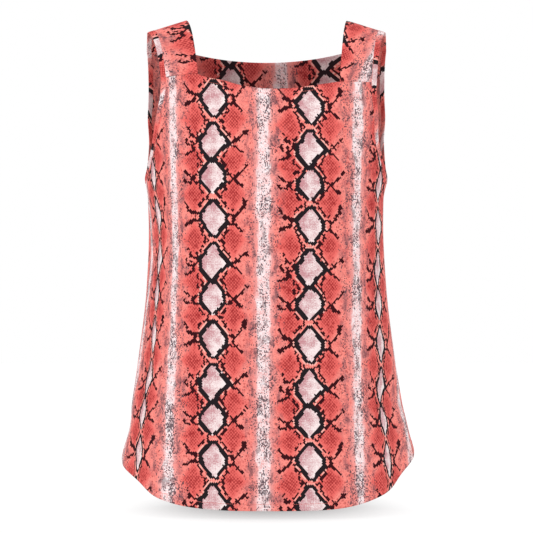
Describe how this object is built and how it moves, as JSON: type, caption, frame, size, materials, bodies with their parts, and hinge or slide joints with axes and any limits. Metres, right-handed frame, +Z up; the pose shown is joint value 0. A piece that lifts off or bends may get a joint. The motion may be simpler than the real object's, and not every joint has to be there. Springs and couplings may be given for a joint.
{
  "type": "sleeveless blouse",
  "caption": "Sleeveless blouse in snakeskin-print cloth, with a square neck, wide shoulder straps, bound armholes and a curved hem, in the hollow shape it has when worn.",
  "frame": {"origin": "midway between the two shoulder straps, at the height of the straps' inner top corners, where the wearer's shoulders hold the blouse", "axes": "+Z up along the wearer's body, -Y the way the front faces, +X toward the wearer's left"},
  "size_m": [0.3797, 0.2687, 0.6296],
  "materials": {
    "printed_cloth": "soft matt woven cloth, coral ground with a snakeskin print in black, pink and white",
    "printed_binding": "the same printed cloth, cut as a narrow binding"
  },
  "bodies": {
    "root": {"front": "printed_cloth", "back": "printed_cloth", "strap_left": "printed_cloth", "strap_right": "printed_cloth", "armhole_band_left": "printed_binding", "armhole_band_right": "printed_binding"}
  },
  "joints": []
}
